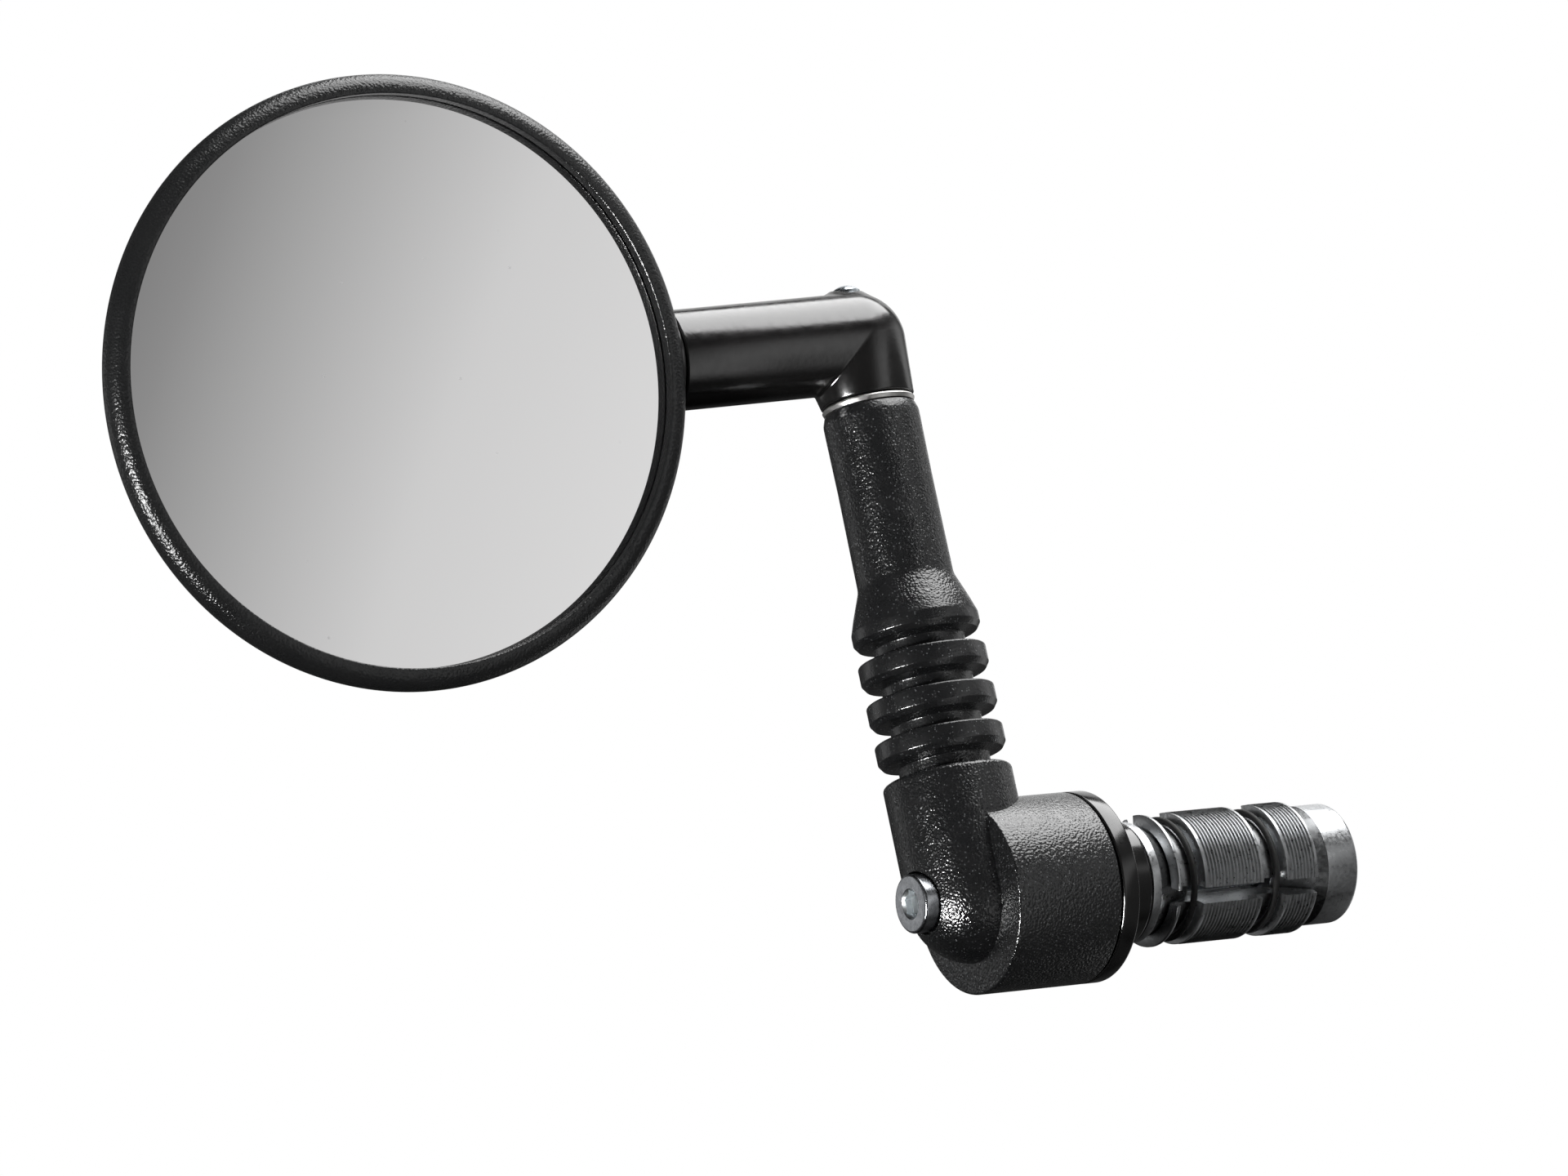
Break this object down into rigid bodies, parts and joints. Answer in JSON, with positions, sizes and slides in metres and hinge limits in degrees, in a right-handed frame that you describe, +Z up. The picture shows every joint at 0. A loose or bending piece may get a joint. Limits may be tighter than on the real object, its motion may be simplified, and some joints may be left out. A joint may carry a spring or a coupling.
{
  "type": "bicycle mirror",
  "caption": "Round convex mirror in a rolled black rim, on a mitred tube and a ribbed arm that swivel, tilt and turn about a plug which expands in the end of a handlebar.",
  "frame": {"origin": "on the handlebar's axis, at the collar's face that rests on the end of the bar", "axes": "+X along the handlebar, into it; +Z up the ribbed arm; the mirror faces -Y, turned 7 degrees and tilted 9.4 degrees"},
  "size_m": [0.1717, 0.0312, 0.1303],
  "materials": {
    "textured_nylon": "moulded black glass-filled nylon with a fine leathery grain",
    "satin_black": "smooth satin black",
    "mirror_silver": "silvered convex glass",
    "foam_tape": "closed-cell foam",
    "zinc_steel": "bright zinc plate",
    "stainless_steel": "polished stainless",
    "brass": "turned",
    "black_rubber": "moulded",
    "white_nylon": "natural nylon",
    "turned_alloy": "turned aluminium"
  },
  "bodies": {
    "bar_plug": {"bar_end_collar": "satin_black", "friction_washer": "white_nylon", "front_cone": "turned_alloy", "jaw_band_front": "black_rubber", "jaw_band_rear": "black_rubber"},
    "bolt": {"anchor_bolt": "zinc_steel"},
    "draw_cone": {"rear_cone": "turned_alloy", "cone_nut": "zinc_steel"},
    "jaw_1": {"expander_jaw_1": "turned_alloy"},
    "jaw_2": {"expander_jaw_2": "turned_alloy"},
    "jaw_3": {"expander_jaw_3": "turned_alloy"},
    "arm": {"ribbed_arm": "textured_nylon", "seam_washer": "stainless_steel", "swivel_insert": "brass", "swivel_spring_washer": "stainless_steel", "swivel_screw": "zinc_steel"},
    "elbow": {"elbow_tube": "satin_black", "tilt_insert": "brass", "tilt_screw": "zinc_steel", "tilt_spring_washer": "stainless_steel", "tilt_washer": "stainless_steel"},
    "head": {"mirror_glass": "mirror_silver", "foam_tape": "foam_tape", "mirror_rim": "satin_black", "mirror_housing": "satin_black"}
  },
  "joints": [
    {"name": "arm_turn", "type": "hinge", "parent": "bar_plug", "child": "arm", "pos_m": [-0.0184, 0, 0], "axis": [1, 0, 0], "continuous": true},
    {"name": "elbow_swivel", "type": "hinge", "parent": "arm", "child": "elbow", "pos_m": [-0.0184, 0, 0.078], "axis": [0, 0, 1], "continuous": true},
    {"name": "head_tilt", "type": "hinge", "parent": "elbow", "child": "head", "pos_m": [-0.0184, 0, 0.078], "axis": [-0.9925, 0.1219, 0], "continuous": true},
    {"name": "cone_draw", "type": "slide", "parent": "bar_plug", "child": "draw_cone", "axis": [1, 0, 0], "range_m": [0, 0.0028]},
    {"name": "bolt_turn", "type": "hinge", "parent": "bar_plug", "child": "bolt", "pos_m": [-0.0184, 0, 0], "axis": [1, 0, 0], "range_deg": [-1460, 0]},
    {"name": "jaw_1_slide", "type": "slide", "parent": "bar_plug", "child": "jaw_1", "axis": [0.866, 0, 0.5], "range_m": [0, 0.0017]},
    {"name": "jaw_2_slide", "type": "slide", "parent": "bar_plug", "child": "jaw_2", "axis": [0.866, -0.433, -0.25], "range_m": [0, 0.0017]},
    {"name": "jaw_3_slide", "type": "slide", "parent": "bar_plug", "child": "jaw_3", "axis": [0.866, 0.433, -0.25], "range_m": [0, 0.0017]}
  ],
  "couplings": [
    {"joint": "bolt_turn", "follows": "cone_draw", "rad_per_m": -8976},
    {"joint": "jaw_1_slide", "follows": "cone_draw", "ratio": 0.57735},
    {"joint": "jaw_2_slide", "follows": "cone_draw", "ratio": 0.57735},
    {"joint": "jaw_3_slide", "follows": "cone_draw", "ratio": 0.57735}
  ]
}
